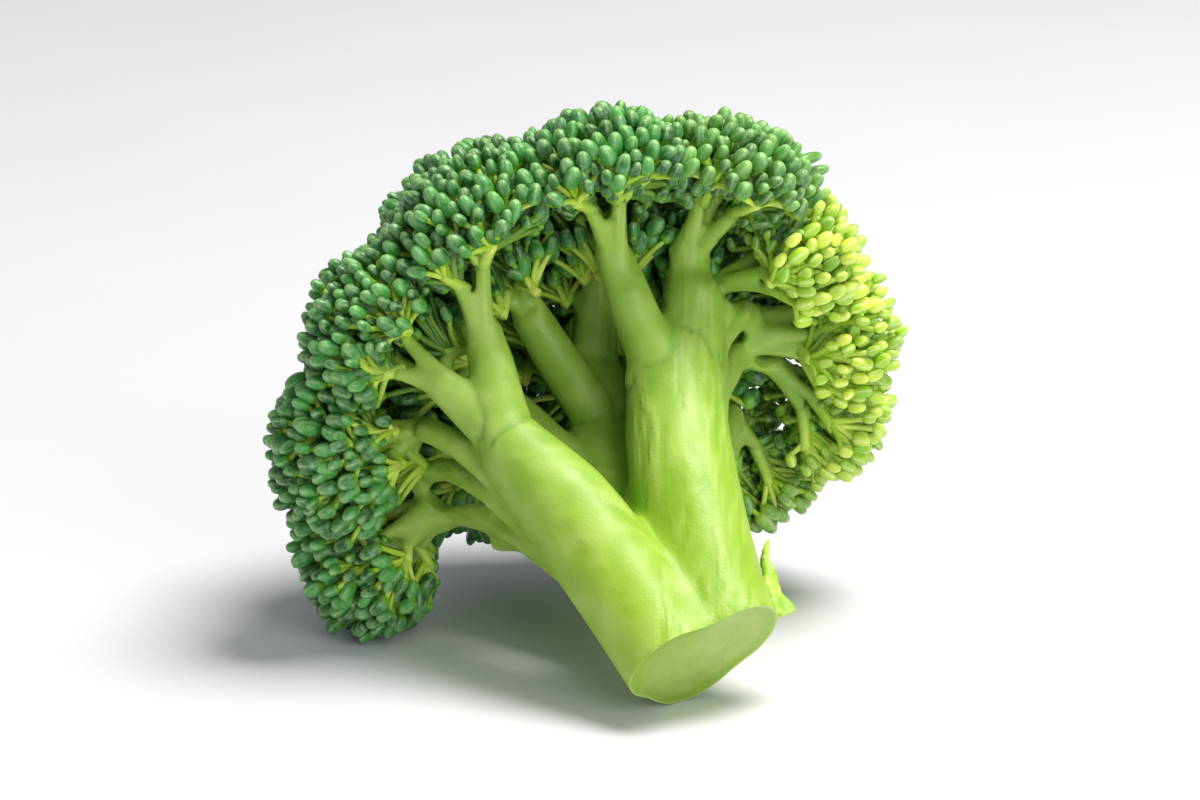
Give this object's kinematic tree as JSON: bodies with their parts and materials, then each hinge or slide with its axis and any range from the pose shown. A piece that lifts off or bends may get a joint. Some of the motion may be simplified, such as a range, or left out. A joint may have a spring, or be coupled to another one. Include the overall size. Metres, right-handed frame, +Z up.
{
  "type": "broccoli floret",
  "caption": "Cut broccoli head lying on its side: a forked pale stalk under an open dome of dark green flower buds, with a torn scrap of leaf at the cut.",
  "frame": {"origin": "centre of the footprint's bounding box, on the surface that the head lies on", "axes": "+Z up; the open underside of the crown and the cut end of the stalk face -Y; +X is to the right as seen from the cut end"},
  "size_m": [0.0984, 0.0938, 0.0859],
  "materials": {
    "stalk_flesh": "smooth waxy skin, moist pale flesh at the cut, satin",
    "flower_buds": "dark blue-green with a greyish waxy bloom",
    "young_buds": "yellow-green with a slight sheen",
    "leaf": "thin torn leaf, satin"
  },
  "bodies": {
    "root": {"stalk": "stalk_flesh", "buds_left_low": "flower_buds", "buds_left": "flower_buds", "buds_left_high": "flower_buds", "buds_top_left": "flower_buds", "buds_top": "flower_buds", "buds_top_right": "flower_buds", "buds_right_high": "young_buds", "buds_right": "young_buds", "buds_right_low": "young_buds", "buds_right_under": "flower_buds", "buds_underside": "flower_buds", "buds_left_under": "flower_buds", "buds_notch": "flower_buds", "buds_inner_left": "flower_buds", "buds_inner_top_left": "flower_buds", "buds_inner_top": "flower_buds", "buds_inner_right": "flower_buds", "buds_inner_far_right": "flower_buds", "buds_inner_low_right": "flower_buds", "buds_inner_low": "flower_buds", "buds_crown_tip": "flower_buds", "leaf_scrap": "leaf"}
  },
  "joints": []
}
